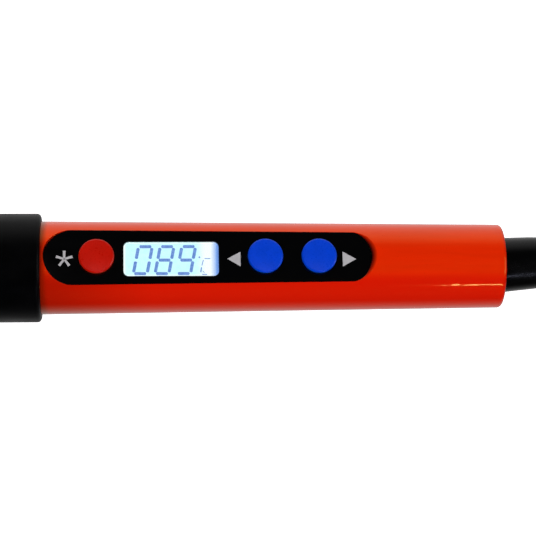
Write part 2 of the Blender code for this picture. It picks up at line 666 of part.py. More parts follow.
def cord_end():
    """The end of the cord held inside the handle."""
    rear, front = TUBE_REAR - REAR_WALL - 2 * GAP - BOOT_FLANGE_T, 90.0
    place(lathe([(rear, 0), (rear, CORD_R), (front, CORD_R), (front, 0)], 20), "cord_end", BLACK_RUBBER, iron,
          turn=ALONG)


def cord_nodes():
    """The free cord: out of the boot into a tied hank on the floor, and over its top to the plug."""
    wire("cord_lead", [exit_point(), *LEAD_KNOTS], CORD_R, BLACK_RUBBER, None, 3, 3)
    wire("cord_tail", [*TAIL_KNOTS, (PLUG_X - GAP, 0, PLUG_Z)], CORD_R, BLACK_RUBBER, None, 3, 3)
    outer_turn = HANK_INNER + CORD_D
    near = HANK_X + outer_turn
    far = near + HANK_RUN
    height = HANK_LAYERS * CORD_D
    outside, inside = outer_turn + CORD_R, HANK_INNER - CORD_R
    middle = HANK_Z + height / 2
    ring = arc((far, 0), outside, -90, 90, 12) + arc((near, 0), outside, 90, 270, 12)
    hank = place(plate(ring, height), "cord_hank", BLACK_RUBBER, None, (0, 0, middle))
    hole = arc((far, 0), inside, -90, 90, 10) + arc((near, 0), inside, 90, 270, 10)
    carve(hank, plate(hole, 2 * height), "hank_hole", None, (0, 0, middle))
    for number, direction in enumerate((1, -1), 1):
        cord_tie(number, (near + far) / 2, direction * (HANK_INNER + CORD_R), height)


def cord_tie(number, x, y, height):
    """A strap round one side of the hank."""
    wide, tall = 2 * CORD_D + 2 * GAP, height + 2 * GAP
    middle = HANK_Z + height / 2
    strap = place(bevel(box((TIE_W, wide + 2 * TIE_T, tall + 2 * TIE_T)), 1.0, 2), f"cord_tie_{number}",
                  TIE_FABRIC, None, (x, y, middle))
    carve(strap, box((2 * TIE_W, wide, tall)), f"tie_cutter_{number}", None, (x, y, middle))


def plug():
    """The earthed plug: a round body with a neck, two pins and two side contacts."""
    end, neck_end = PLUG_X + PLUG_BODY, PLUG_X + PLUG_NECK
    outline = [(end, 0), (end, PLUG_R - 1.0), (end - 1.0, PLUG_R), (neck_end + 9, PLUG_R),
               (neck_end + 4, PLUG_R - 1.6), (neck_end, PLUG_R - 7), (neck_end - 2, PLUG_NECK_R + 1),
               (PLUG_X + 0.8, PLUG_NECK_R), (PLUG_X, PLUG_NECK_R - 0.8), (PLUG_X, 0)]
    body = place(lathe(outline, 48), "plug_body", BLACK_PLASTIC, None, (0, 0, PLUG_Z), ALONG)
    pin = [(end + PIN_LENGTH, 0), (end + PIN_LENGTH, PIN_R - 0.8), (end + PIN_LENGTH - 1.2, PIN_R),
           (end + GAP, PIN_R), (end + GAP, 0)]
    groove_x, groove_depth, clip_t = end - 8, 3.1, 0.9
    for number, direction in enumerate((1, -1), 1):
        carve(body, box((24, 6.6, 5)), f"groove_{number}", None,
              (groove_x, 0, PLUG_Z + direction * (PLUG_R - groove_depth + 2.5)))
        place(lathe(pin, 20), f"plug_pin_{number}", STEEL, None, (0, direction * PIN_Y, PLUG_Z), ALONG)
        place(bevel(box((14, 4.6, clip_t)), 0.2, 1), f"plug_earth_contact_{number}", STEEL, None,
              (groove_x, 0, PLUG_Z + direction * (PLUG_R - groove_depth + GAP + clip_t / 2)))


housing_tube()
panel_fascia()
display()
for label, along in BUTTONS.items():
    button(label, along, RED if label == "power" else BLUE)
main_board()
board_carrier()
cord_clamp()
grip_sleeve()
front_insert()
heater_barrel()
barrel_screws()
heating_element()
sole_shank()
sole_plate()
set_screw("tip_set_screw", TIP_SCREW_X, 1.2, 1.6)
set_screw("sole_set_screw", SOLE_SCREW_X, 1.5, 2.9)
leads()
strain_relief_boot()
cord_end()
cord_nodes()
plug()
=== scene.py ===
"""The waxing iron as it looks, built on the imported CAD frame."""

import math
import json

import bmesh
import bpy
from mathutils import Matrix, Vector

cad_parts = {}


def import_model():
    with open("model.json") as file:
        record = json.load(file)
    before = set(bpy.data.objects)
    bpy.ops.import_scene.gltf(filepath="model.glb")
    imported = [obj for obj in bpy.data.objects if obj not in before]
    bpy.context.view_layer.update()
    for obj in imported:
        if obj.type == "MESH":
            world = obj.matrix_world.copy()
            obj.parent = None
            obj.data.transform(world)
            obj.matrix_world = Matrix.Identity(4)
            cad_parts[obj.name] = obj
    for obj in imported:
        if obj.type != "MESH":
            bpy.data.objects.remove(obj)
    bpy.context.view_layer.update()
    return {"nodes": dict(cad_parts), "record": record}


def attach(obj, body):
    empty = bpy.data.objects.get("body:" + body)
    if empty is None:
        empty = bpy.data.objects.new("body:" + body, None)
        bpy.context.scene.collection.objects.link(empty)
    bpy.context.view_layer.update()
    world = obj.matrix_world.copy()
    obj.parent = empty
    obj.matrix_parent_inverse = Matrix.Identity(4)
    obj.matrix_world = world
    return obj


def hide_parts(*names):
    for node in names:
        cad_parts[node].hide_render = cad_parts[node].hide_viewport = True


# Lengths are in millimetres until a mesh is made.
MM = 0.001

# Handle
TUBE_R = 11.0
TUBE_TAPER = 0.0097
TUBE_WALL = 1.5
TUBE_FRONT = -46.0
TUBE_REAR = 109.2
TUBE_EDGE = 1.0
REAR_WALL = 2.4
REAR_HOLE_R = 7.0
LIE = math.radians(2.41346)
ORIGIN = (-0.5, 0.0, 14.5012)

# Panel
PANEL_H = 8.72
PANEL_FALL = 0.0052
PANEL_FRONT = 0.6
PANEL_REAR = 78.6
PANEL_HALF_FRONT = 6.68
PANEL_HALF_REAR = 6.04
PANEL_T = 0.7
RECESS_DEPTH = 1.3
RIM_R_FRONT = 0.12
RIM_R_REAR = 1.25
RIM_SHARE = 0.7
RIM_X = PANEL_REAR - PANEL_HALF_REAR - 0.2
PANEL_SLOPE = math.tan(LIE) + PANEL_FALL
PANEL_Z = ORIGIN[2] + PANEL_H * math.cos(LIE)
FIT = 0.06
WINDOW = (30.43, -0.4)
WINDOW_SIZE = (22.15, 8.26)
WINDOW_CORNER = 1.2
LCD_DEPTH = 0.8
LCD_SIZE = (24.4, 9.8, 2.5)
BUTTONS = {"power": 13.05, "down": 52.38, "up": 64.96}
BUTTON_R = 4.14
BUTTON_TOP = 1.85
BUTTON_DOME = 0.3
BUTTON_EDGE = 0.55
BUTTON_NECK_R = 3.7
PRINT_T = 0.02

# Display
DIGITS = {"0": "abcdef", "8": "abcdefg", "9": "abcdfg"}
READING = "089"
DIGIT_X = 23.84
DIGIT_PITCH = 5.05
DIGIT_Y = -0.5
DIGIT_HALF = 1.6
DIGIT_RISE = 3.27
SLANT = 0.19
STROKE = 0.74

# Grip
GRIP_R = 12.83
GRIP_WAIST_R = 12.2
COLLAR_REAR = 0.05
GUARD_R = 17.4
GUARD_FLAT = 16.2
GUARD_REAR = -40.0
GUARD_SIDES = 8

# Heater
BARREL_R = 5.5
BARREL_FRONT = -96.0
FLANGE_R = 10.9
FLANGE_REAR = -47.2
FLANGE_FRONT = -48.4
SCREW_RING_R = 7.5
SHANK_R = 4.0
TIP_SCREW_X = -91.0
SOLE_SCREW_X = -109.0
SOLE_SIZE = (47.94, 34.0, 6.4)
SOLE_PLACE = (-122.0, 0.0, -8.0)
SOLE_TILT = math.radians(12)
BOSS_R = 7.0

# Cord
CORD_D = 4.8
BOOT_REAR = 147.3
BOOT_LEAN_X = 106.5
BOOT_SWAY = 1.02
HANK_NEAR = 189.2
HANK_FAR = 234.2
HANK_INNER = 14.4
HANK_OUTER = HANK_INNER + CORD_D
HANK_MEAN = (HANK_INNER + HANK_OUTER) / 2
HANK_Z = 0.8
HANK_LOW = HANK_Z + CORD_D / 2
RUN = HANK_FAR - HANK_NEAR
FOLD = math.pi * HANK_MEAN
LAP = 2 * (RUN + FOLD)
LAP_POINTS = 28
SLOTS = ((HANK_OUTER, 0), (HANK_INNER, 0), (HANK_INNER, 1), (HANK_OUTER, 1), (HANK_OUTER, 2),
         (HANK_INNER, 2))
SHIFT = 21.0
SHIFT_STEP = 6.6
TOP_Z = 18.5
TIE_T = 0.5
TIE_W = 8.0
PLUG_R = 18.46
PLUG_Z = 18.2
PLUG_X = 263.0
PLUG_END = 297.0

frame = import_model()
nodes = frame["nodes"]

IRON = Matrix.Translation(ORIGIN) @ Matrix.Rotation(LIE, 4, "Y")
PANEL = IRON @ Matrix.Translation((0, 0, PANEL_H)) @ Matrix.Rotation(math.atan(PANEL_FALL), 4, "Y")
SOLE = IRON @ Matrix.Translation(SOLE_PLACE) @ Matrix.Rotation(SOLE_TILT, 4, "Y")
STAND = Matrix.Rotation(-math.pi / 2, 4, "Y")


# ---- Meshes ----

def skin(rings, loop=False):
    """A closed mesh through rings of equally many points; loop joins the last ring to the first."""
    bm = bmesh.new()
    rows = [[bm.verts.new(p) for p in ring] for ring in rings]
    count = len(rings[0])
    for a, b in zip(rows, rows[1:] + rows[:1] if loop else rows[1:]):
        for i in range(count):
            j = (i + 1) % count
            bm.faces.new((a[i], a[j], b[j], b[i]))
    if not loop:
        bm.faces.new(rows[0])
        bm.faces.new(rows[-1])
    bmesh.ops.remove_doubles(bm, verts=bm.verts, dist=1e-5)
    bmesh.ops.recalc_face_normals(bm, faces=bm.faces)
    return bm


def lathe(outline, steps=128, loop=False):
    """The outline, points (x, radius), turned about the x axis."""
    turns = [math.tau * i / steps for i in range(steps)]
    return skin([[(x, r * math.cos(t), r * math.sin(t)) for t in turns] for x, r in outline], loop)


def prism(outline, low, high):
    """The flat outline, points (x, y), from height low to high."""
    return skin([[(x, y, z) for x, y in outline] for z in (low, high)])


def arc(centre, radius, start, end, steps):
    """Points on a circle, from one angle to another in degrees."""
    turns = [math.radians(start + (end - start) * i / steps) for i in range(steps + 1)]
    return [(centre[0] + radius * math.cos(t), centre[1] + radius * math.sin(t)) for t in turns]


def rounded(centre, length, width, radius, steps=8, front=None):
    """A rectangle with rounded corners; front is the radius of the two corners at low x."""
    front = radius if front is None else front
    x, y = centre
    corners = ((1, -1, radius, -90), (1, 1, radius, 0), (-1, 1, front, 90), (-1, -1, front, 180))
    points = []
    for dx, dy, r, turn in corners:
        points += arc((x + dx * (length / 2 - r), y + dy * (width / 2 - r)), r, turn, turn + 90, steps)
    return points


def add(name, bm, place):
    """An object of the mesh, which is in millimetres in the frame place."""
    bm.transform(Matrix.Scale(MM, 4) @ place)
    mesh = bpy.data.meshes.new(name)
    bm.to_mesh(mesh)
    bm.free()
    obj = bpy.data.objects.new(name, mesh)
    bpy.context.scene.collection.objects.link(obj)
    return obj


def settle(obj):
    """Turns the object's modifiers into its mesh."""
    depsgraph = bpy.context.evaluated_depsgraph_get()
    mesh = bpy.data.meshes.new_from_object(obj.evaluated_get(depsgraph))
    obj.modifiers.clear()
    obj.data = mesh


def cut(target, bm, place, operation="DIFFERENCE"):
    tool = add("tool", bm, place)
    step = target.modifiers.new("cut", "BOOLEAN")
    step.object, step.operation, step.solver = tool, operation, "EXACT"
    settle(target)
    bpy.data.objects.remove(tool)


def ease(obj, width, segments=3, angle=32):
    """Rounds the edges that are sharper than the angle."""
    step = obj.modifiers.new("ease", "BEVEL")
    step.width, step.segments = width * MM, segments
    step.limit_method, step.angle_limit = "ANGLE", math.radians(angle)
    settle(obj)


def smooth(obj, angle=35):
    obj.data.shade_smooth()
    obj.data.set_sharp_from_angle(angle=math.radians(angle))


def show(obj, finish, body="handle", stands_for=(), angle=35):
    """Gives a piece its finish and its body, and hides the CAD nodes it stands for."""
    smooth(obj, angle)
    obj.modifiers.new("even", "WEIGHTED_NORMAL").keep_sharp = True
    obj.data.materials.clear()
    obj.data.materials.append(FINISHES[finish])
    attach(obj, body)
    if stands_for:
        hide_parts(*stands_for)
    return obj


# ---- Finishes ----

FINISHES = {}
# Bare metal is 1. This is less, for looks: the room overhead is dark, and a full mirror of it is near black.
METALLIC = 0.6


class Nodes:
    """One material's nodes, with texture coordinates in millimetres."""

    def __init__(self, name):
        self.name = name
        self.material = bpy.data.materials.new(name)
        self.material.use_nodes = True
        self.tree = self.material.node_tree
        self.shader = self.tree.nodes["Principled BSDF"]
        self.where = self.tree.nodes.new("ShaderNodeTexCoord").outputs["Object"]

    def link(self, source, target):
        self.tree.links.new(source, target)

    def space(self, stretch):
        """Coordinates in millimetres times stretch."""
        node = self.tree.nodes.new("ShaderNodeMapping")
        node.inputs["Scale"].default_value = [s / MM for s in stretch]
        self.link(self.where, node.inputs["Vector"])
        return node.outputs["Vector"]

    def noise(self, scale, stretch=(1, 1, 1), detail=3.0):
        node = self.tree.nodes.new("ShaderNodeTexNoise")
        node.inputs["Scale"].default_value = scale
        node.inputs["Detail"].default_value = detail
        self.link(self.space(stretch), node.inputs["Vector"])
        return node.outputs["Fac"]

    def wave(self, scale, axis, stretch=(1, 1, 1), distortion=0.0):
        node = self.tree.nodes.new("ShaderNodeTexWave")
        node.bands_direction = axis
        node.inputs["Scale"].default_value = scale
        node.inputs["Distortion"].default_value = distortion
        self.link(self.space(stretch), node.inputs["Vector"])
        return node.outputs["Fac"]

    def spots(self, scale, stretch=(1, 1, 1)):
        node = self.tree.nodes.new("ShaderNodeTexVoronoi")
        node.inputs["Scale"].default_value = scale
        self.link(self.space(stretch), node.inputs["Vector"])
        return node.outputs["Distance"]

    def along(self, axis):
        """The coordinate along one axis, in millimetres."""
        node = self.tree.nodes.new("ShaderNodeSeparateXYZ")
        self.link(self.space((1, 1, 1)), node.inputs["Vector"])
        return node.outputs[axis]

    def span(self, value, low, high, to_low=0.0, to_high=1.0, soft=False):
        node = self.tree.nodes.new("ShaderNodeMapRange")
        if soft:
            node.interpolation_type = "SMOOTHSTEP"
        self.link(value, node.inputs["Value"])
        for name, number in (("From Min", low), ("From Max", high), ("To Min", to_low), ("To Max", to_high)):
            node.inputs[name].default_value = number
        return node.outputs["Result"]

    def calc(self, a, b, operation="ADD"):
        """One Math node; b is a number or a socket."""
        node = self.tree.nodes.new("ShaderNodeMath")
        node.operation = operation
        self.link(a, node.inputs[0])
        if isinstance(b, (int, float)):
            node.inputs[1].default_value = b
        else:
            self.link(b, node.inputs[1])
        return node.outputs[0]

    def mix(self, share, a, b):
        """Colour a where share is 0 and b where it is 1; each is a colour or a socket."""
        node = self.tree.nodes.new("ShaderNodeMix")
        node.data_type = "RGBA"
        self.link(share, node.inputs["Factor"])
        for socket, value in ((node.inputs[6], a), (node.inputs[7], b)):
            if isinstance(value, tuple):
                socket.default_value = (*value, 1.0)
            else:
                self.link(value, socket)
        return node.outputs[2]

    def bump(self, height, depth, below=None):
        """Relief of the height, depth millimetres from its lowest to its highest."""
        node = self.tree.nodes.new("ShaderNodeBump")
        node.inputs["Distance"].default_value = depth * MM
        self.link(height, node.inputs["Height"])
        if below is not None:
            self.link(below, node.inputs["Normal"])
        return node.outputs["Normal"]

    def finish(self, **sockets):
        """Sets the shader's sockets, each to a number, a colour or another node's socket."""
        for name, value in sockets.items():
            socket = self.shader.inputs[name.replace("_", " ")]
            if isinstance(value, bpy.types.NodeSocket):
                self.link(value, socket)
            else:
                socket.default_value = (*value, 1.0) if isinstance(value, tuple) else value
        FINISHES[self.name] = self.material


def shade(colour, factor):
    return tuple(c * factor for c in colour)


def plain_finish(name, colour, rough, tone=0.15, patch=0.12, grain=3.0, relief=0.004, uneven=0.08,
                 stretch=(1, 1, 1), metal=0.0, **sockets):
    """Uneven colour in broad patches, a grain in the relief and a sheen that varies with both."""
    n = Nodes(name)
    broad, fine = n.noise(patch, stretch), n.noise(grain, stretch, 5.0)
    colours = n.mix(n.span(broad, 0.3, 0.7), shade(colour, 1 - tone), shade(colour, 1 + tone))
    sheen = n.span(n.calc(broad, fine), 0.7, 1.3, rough - uneven, rough + uneven)
    n.finish(Base_Color=colours, Roughness=sheen, Metallic=metal, Normal=n.bump(fine, relief), **sockets)
    return n


def worn_metal(name, colour, rough, brushed=(0.1, 1, 1), oxide=None, oxide_share=0.5, relief=0.003):
    """Metal with tool marks along one direction and stains where it has been hot or handled."""
    n = Nodes(name)
    marks, stain = n.noise(2.5, brushed, 6.0), n.noise(0.16, (1, 1, 1), 5.0)
    base = n.mix(n.span(marks, 0.3, 0.7), shade(colour, 0.82), shade(colour, 1.08))
    if oxide:
        base = n.mix(n.span(stain, 0.62 - 0.4 * oxide_share, 0.72, soft=True), base, oxide)
    sheen = n.span(n.calc(marks, stain), 0.7, 1.3, rough - 0.07, rough + 0.12)
    n.finish(Base_Color=base, Roughness=sheen, Metallic=METALLIC, Normal=n.bump(marks, relief))
    return n


def orange_finish():
    """Glossy plastic with flow marks. Some shade is painted into its colour: redder on the low side, and
    darker by the collar and on the recess's rear rim."""
    n = Nodes("orange_plastic")
    colour = (0.88, 0.0235, 0.0006)
    flow, peel = n.noise(0.55, (0.08, 1, 1), 4.0), n.noise(1.3, (0.6, 1, 1), 2.0)
    specks = n.spots(0.9)
    base = n.mix(n.span(flow, 0.3, 0.7), shade(colour, 0.95), shade(colour, 1.04))
    # Painted shade: the colour turns darker and redder towards the low (-Y) side.
    base = n.mix(n.span(n.along("Y"), -3.6, -6.0, 0.0, 0.9, soft=True), base, (0.80, 0.0088, 0.0011))
    base = n.mix(n.span(specks, 0.03, 0.07, 1.0, 0.0), base, shade(colour, 0.6))
    # Painted shade: the low side darkens towards the collar over its first 26 mm.
    low_side = n.span(n.along("Y"), -1.0, -7.0, soft=True)
    collar_shade = n.calc(n.span(n.along("X"), 1.0, 26.0, 1.0, 0.0), low_side, "MULTIPLY")
    base = n.mix(n.span(collar_shade, 0.0, 1.0, 0.0, 0.55), base, shade(colour, 0.25))
    # Painted shade: a narrow dark band on the tube right next to the collar.
    base = n.mix(n.span(n.along("X"), 0.1, 1.7, 0.95, 0.0, soft=True), base, shade(colour, 0.3))
    off, y = n.calc(n.along("X"), -RIM_X), n.along("Y")
    reach = n.calc(n.calc(n.calc(off, off, "MULTIPLY"), n.calc(y, y, "MULTIPLY")), 0.5, "POWER")
    shadow = n.span(reach, PANEL_HALF_REAR, PANEL_HALF_REAR - RIM_R_REAR, 0.0, 1.0)
    shadow = n.calc(shadow, n.span(off, 0.0, 2.5, soft=True), "MULTIPLY")
    base = n.mix(n.calc(shadow, 0.75, "POWER"), base, shade(colour, 0.006))
    gloss = n.span(n.calc(flow, peel), 0.7, 1.3, 0.035, 0.065)
    n.finish(Base_Color=base, Roughness=gloss, Normal=n.bump(peel, 0.0016), IOR=1.45,
             Specular_Tint=(1.0, 0.95, 0.17))


def panel_finish():
    n = Nodes("panel_black")
    dust, smear = n.spots(1.1), n.noise(0.22, (0.6, 1, 1), 4.0)
    base = n.mix(n.span(dust, 0.02, 0.045, 1.0, 0.0), (0.0006, 0.0006, 0.0008), (0.02, 0.02, 0.02))
    n.finish(Base_Color=base, Roughness=n.span(smear, 0.35, 0.7, 0.045, 0.13), IOR=1.42,
             Normal=n.bump(smear, 0.0008))


def rubber_finish(name, colour, rough, relief, grain, shine=0.2):
    n = Nodes(name)
    skin_grain, haze = n.noise(grain, (1, 1, 1), 4.0), n.noise(0.2, (0.5, 1, 1), 4.0)
    base = n.mix(n.span(haze, 0.4, 0.75, soft=True), colour, shade(colour, 2.2))
    sheen = n.span(n.calc(haze, skin_grain), 0.7, 1.3, rough - 0.08, rough + 0.1)
    n.finish(Base_Color=base, Roughness=sheen, Normal=n.bump(skin_grain, relief), IOR=1.45,
             Specular_IOR_Level=shine)


def button_finish(name, colour, rim):
    """Satin plastic, with painted shade that darkens the cap where it goes down into the panel."""
    n = Nodes(name)
    grain, haze = n.noise(2.6, (1, 1, 1), 4.0), n.noise(0.4)
    base = n.mix(n.span(n.calc(grain, haze), 0.75, 1.25), shade(colour, 0.93), shade(colour, 1.06))
    over_panel = n.calc(n.calc(n.along("X"), PANEL_SLOPE, "MULTIPLY"), n.along("Z"))
    # Painted shade on the cap's side wall, darkest at the panel.
    base = n.mix(n.span(over_panel, PANEL_Z, PANEL_Z + 0.95, 0.97, 0.0), base, shade(colour, 0.02))
    n.finish(Base_Color=base, Roughness=n.span(grain, 0.3, 0.7, 0.26, 0.38), Normal=n.bump(grain, 0.0025),
             IOR=1.45, Specular_IOR_Level=0.25, Sheen_Weight=0.2, Sheen_Tint=rim, Sheen_Roughness=0.35)


def lcd_finish():
    n = Nodes("lcd_cell")
    x, y, haze = n.along("X"), n.along("Y"), n.noise(0.9, (1, 1, 1), 2.0)
    middle = n.mix(n.span(haze, 0.3, 0.7), (0.56, 0.93, 0.97), (0.64, 0.97, 1.0))
    edge = (0.92, 1.0, 0.97)
    lit = n.mix(n.span(x, 19.2, 19.9, 1.0, 0.0, soft=True), middle, edge)
    lit = n.mix(n.span(y, -3.8, -4.2, 0.0, 0.7, soft=True), lit, edge)
    lit = n.mix(n.span(y, 3.45, 3.85, 0.0, 0.8, soft=True), lit, edge)
    lit = n.mix(n.span(x, 35.8, 38.4, soft=True), lit, edge)
    n.finish(Base_Color=(0.05, 0.07, 0.08), Roughness=n.span(haze, 0.3, 0.7, 0.1, 0.2), Emission_Color=lit,
             Emission_Strength=1.04, Normal=n.bump(haze, 0.001))


def segment_finish():
    n = Nodes("lcd_segment")
    haze = n.noise(1.6, (1, 1, 1), 3.0)
    n.finish(Base_Color=(0.02, 0.03, 0.06), Roughness=n.span(haze, 0.3, 0.7, 0.2, 0.35),
             Emission_Color=n.mix(n.span(haze, 0.3, 0.7), (0.12, 0.24, 0.60), (0.16, 0.30, 0.68)),
             Emission_Strength=1.0)


def strip_finish():
    """The dark blue side of the display cell, where its backlight fades."""
    n = Nodes("lcd_strip")
    x, haze = n.along("X"), n.noise(1.2, (1, 0.3, 1), 3.0)
    lit = n.mix(n.span(x, 39.5, 40.8), (0.95, 1.0, 0.99), (0.24, 0.44, 0.88))
    lit = n.mix(n.span(x, 40.6, 41.3), lit, (0.10, 0.22, 0.62))
    lit = n.mix(n.span(haze, 0.3, 0.8, 0.0, 0.1), lit, (0.4, 0.6, 1.0))
    n.finish(Base_Color=(0.02, 0.03, 0.06), Roughness=n.span(haze, 0.3, 0.7, 0.2, 0.3), Emission_Color=lit,
             Emission_Strength=1.0)


def lens_finish():
    n = Nodes("clear_lens")
    smear = n.noise(0.5, (1, 1, 1), 4.0)
    n.finish(Base_Color=(0.97, 0.99, 1.0), Roughness=n.span(smear, 0.35, 0.7, 0.01, 0.06), IOR=1.2,
             Transmission_Weight=1.0, Normal=n.bump(smear, 0.0006))


def woven_finish():
    n = Nodes("tie_fabric")
    across, down = n.wave(1.6, "X"), n.wave(1.6, "Z", (1, 1, 1))
    loops, haze = n.noise(3.0, (1, 1, 1), 5.0), n.noise(0.3)
    weave = n.calc(n.calc(across, down), loops)
    base = n.mix(n.span(weave, 0.6, 2.2), (0.006, 0.006, 0.007), (0.045, 0.045, 0.05))
    n.finish(Base_Color=base, Roughness=n.span(haze, 0.3, 0.7, 0.75, 0.95), Normal=n.bump(weave, 0.16),
             Sheen_Weight=0.35, Sheen_Roughness=0.5)


def board_finish():
    n = Nodes("circuit_board")
    cells, mask = n.spots(0.45, (1, 1, 1)), n.noise(0.25)
    tracks = n.calc(n.wave(0.7, "Y", (1, 1, 1), 1.5), n.wave(0.25, "X", (1, 1, 1), 2.0), "MULTIPLY")
    base = n.mix(n.span(mask, 0.3, 0.7), (0.008, 0.12, 0.035), (0.012, 0.17, 0.05))
    base = n.mix(n.span(tracks, 0.45, 0.5), base, (0.03, 0.26, 0.08))
    base = n.mix(n.span(cells, 0.1, 0.13, 1.0, 0.0), base, (0.6, 0.58, 0.52))
    n.finish(Base_Color=base, Roughness=n.span(mask, 0.3, 0.7, 0.25, 0.42), Normal=n.bump(tracks, 0.02))


def barrel_finish():
    """Turned stainless steel, tinted by heat towards the sole."""
    n = Nodes("stainless")
    rings, stain = n.noise(1.6, (3.0, 0.12, 0.12), 5.0), n.noise(0.12, (0.5, 1, 1), 4.0)
    x = n.calc(n.along("X"), n.span(stain, 0.3, 0.7, -7.0, 7.0))
    base = n.mix(n.span(rings, 0.3, 0.7), (0.50, 0.50, 0.49), (0.66, 0.655, 0.64))
    base = n.mix(n.span(x, -62.0, -76.0, 0.0, 0.75, soft=True), base, (0.56, 0.43, 0.22))
    base = n.mix(n.span(x, -76.0, -86.0, 0.0, 0.7, soft=True), base, (0.33, 0.17, 0.17))
    base = n.mix(n.span(x, -87.0, -95.0, 0.0, 0.75, soft=True), base, (0.13, 0.17, 0.27))
    n.finish(Base_Color=base, Roughness=n.span(n.calc(rings, stain), 0.7, 1.3, 0.2, 0.36), Metallic=METALLIC,
             Normal=n.bump(rings, 0.004))


def sole_finish():
    """Milled aluminium with lengthwise cutter marks, and wax baked on in patches."""
    n = Nodes("sole_aluminium")
    marks, stain = n.noise(2.2, (0.06, 1, 1), 6.0), n.noise(0.11, (1, 1, 1), 5.0)
    scratch = n.noise(0.8, (0.1, 2, 1), 2.0)
    base = n.mix(n.span(marks, 0.3, 0.7), (0.60, 0.605, 0.61), (0.80, 0.80, 0.80))
    base = n.mix(n.span(stain, 0.55, 0.75, 0.0, 0.55, soft=True), base, (0.36, 0.28, 0.18))
    base = n.mix(n.span(scratch, 0.68, 0.72, 0.0, 0.5), base, (0.9, 0.9, 0.9))
    n.finish(Base_Color=base, Roughness=n.span(n.calc(marks, stain), 0.7, 1.3, 0.24, 0.44), Metallic=METALLIC,
             Normal=n.bump(marks, 0.006))


orange_finish()
panel_finish()
rubber_finish("grip_rubber", (0.0004, 0.0004, 0.0005), 0.42, 0.006, 5.0, 0.1)
rubber_finish("boot_rubber", (0.0012, 0.0012, 0.0013), 0.2, 0.003, 4.0, 0.15)
rubber_finish("cord_jacket", (0.0045, 0.0045, 0.0048), 0.44, 0.01, 3.0, 0.35)
button_finish("red_button", (0.56, 0.0062, 0.0008), (1.0, 0.3, 0.1))
button_finish("blue_button", (0.0005, 0.054, 0.69), (0.0, 0.55, 1.0))
lcd_finish()
segment_finish()
strip_finish()
lens_finish()
woven_finish()
board_finish()
barrel_finish()
sole_finish()
plain_finish("white_print", (0.50, 0.485, 0.50), 0.5, tone=0.06, patch=0.9, grain=4.0, relief=0.002)
plain_finish("black_plastic", (0.018, 0.018, 0.019), 0.42, tone=0.25, grain=4.0, relief=0.008)
plain_finish("plug_plastic", (0.011, 0.011, 0.012), 0.36, tone=0.25, patch=0.1, grain=2.4, relief=0.012)
plain_finish("light_guide", (0.72, 0.88, 0.95), 0.25, tone=0.05, Transmission_Weight=0.6, IOR=1.49)
plain_finish("strip_rubber", (0.45, 0.16, 0.25), 0.6, tone=0.2, stretch=(6, 1, 1))
plain_finish("capacitor_yellow", (0.66, 0.44, 0.03), 0.38, tone=0.12, grain=1.5, relief=0.02)
plain_finish("capacitor_sleeve", (0.012, 0.018, 0.05), 0.3, tone=0.3, grain=1.0, relief=0.01)
plain_finish("phenolic", (0.075, 0.035, 0.02), 0.55, tone=0.3, patch=0.5, grain=2.0, relief=0.03)
plain_finish("mica", (0.55, 0.44, 0.26), 0.32, tone=0.3, patch=0.35, grain=1.2, relief=0.02)
plain_finish("ceramic", (0.80, 0.78, 0.73), 0.5, tone=0.08, patch=0.25, grain=3.5, relief=0.02)
plain_finish("white_sleeving", (0.74, 0.72, 0.64), 0.75, tone=0.15, grain=5.0, relief=0.06)
plain_finish("blue_insulation", (0.02, 0.10, 0.42), 0.42, tone=0.15, grain=3.0, relief=0.01)
plain_finish("brown_insulation", (0.11, 0.04, 0.018), 0.42, tone=0.2, grain=3.0, relief=0.01)
plain_finish("green_insulation", (0.22, 0.42, 0.03), 0.42, tone=0.25, patch=0.4, grain=3.0, relief=0.01)
worn_metal("switch_steel", (0.62, 0.62, 0.61), 0.3)
worn_metal("zinc_steel", (0.60, 0.61, 0.60), 0.3, (1, 1, 0.2), (0.34, 0.30, 0.22), 0.3)
worn_metal("copper", (0.72, 0.36, 0.22), 0.3, (2.5, 0.15, 0.15), (0.20, 0.075, 0.05), 0.75, 0.005)
worn_metal("black_steel", (0.06, 0.058, 0.055), 0.34, (1, 1, 0.3), (0.15, 0.10, 0.07), 0.3)
worn_metal("nickel", (0.66, 0.64, 0.60), 0.22, (0.12, 1, 1), (0.42, 0.38, 0.32), 0.35, 0.002)


# ---- Camera ----

VIEW_PLACE = (21.56, -138.24, 474.9)
VIEW_ROLL = math.radians(16.15)
VIEW_TURN = Matrix.Rotation(math.radians(0.2355), 4, "Z") @ Matrix.Rotation(math.radians(3.6995), 4, "Y") \
    @ Matrix.Rotation(math.radians(-0.054), 4, "X")


def camera():
    made = bpy.data.objects.new("camera", bpy.data.cameras.new("camera"))
    bpy.context.scene.collection.objects.link(made)
    made.data.sensor_width, made.data.lens = 36.0, 140.17
    made.data.clip_start = 0.01
    turn = Matrix.Rotation(LIE, 4, "Y") @ Matrix.Rotation(VIEW_ROLL, 4, "X") @ VIEW_TURN.transposed()
    made.matrix_world = Matrix.Translation(IRON @ Vector(VIEW_PLACE) * MM) @ turn
    bpy.context.scene.camera = made


camera()


# ---- Cord ----

def shift(share):
    """A smooth step from 0 to 1."""
    share = min(1.0, max(0.0, share))
    return (1 - math.cos(math.pi * share)) / 2


def on_lap(distance, radius, z):
    """A point of the hank's path, distance along a lap that starts at the +Y run's near end."""
    if distance < RUN:
        return HANK_NEAR + distance, radius, z
    distance -= RUN
    if distance < FOLD:
        t = math.pi / 2 - distance / HANK_MEAN
        return HANK_FAR + radius * math.cos(t), radius * math.sin(t), z
    distance -= FOLD
    if distance < RUN:
        return HANK_FAR - distance, -radius, z
    t = math.pi / 2 - (distance - RUN) / HANK_MEAN
    return HANK_NEAR - radius * math.cos(t), -radius * math.sin(t), z


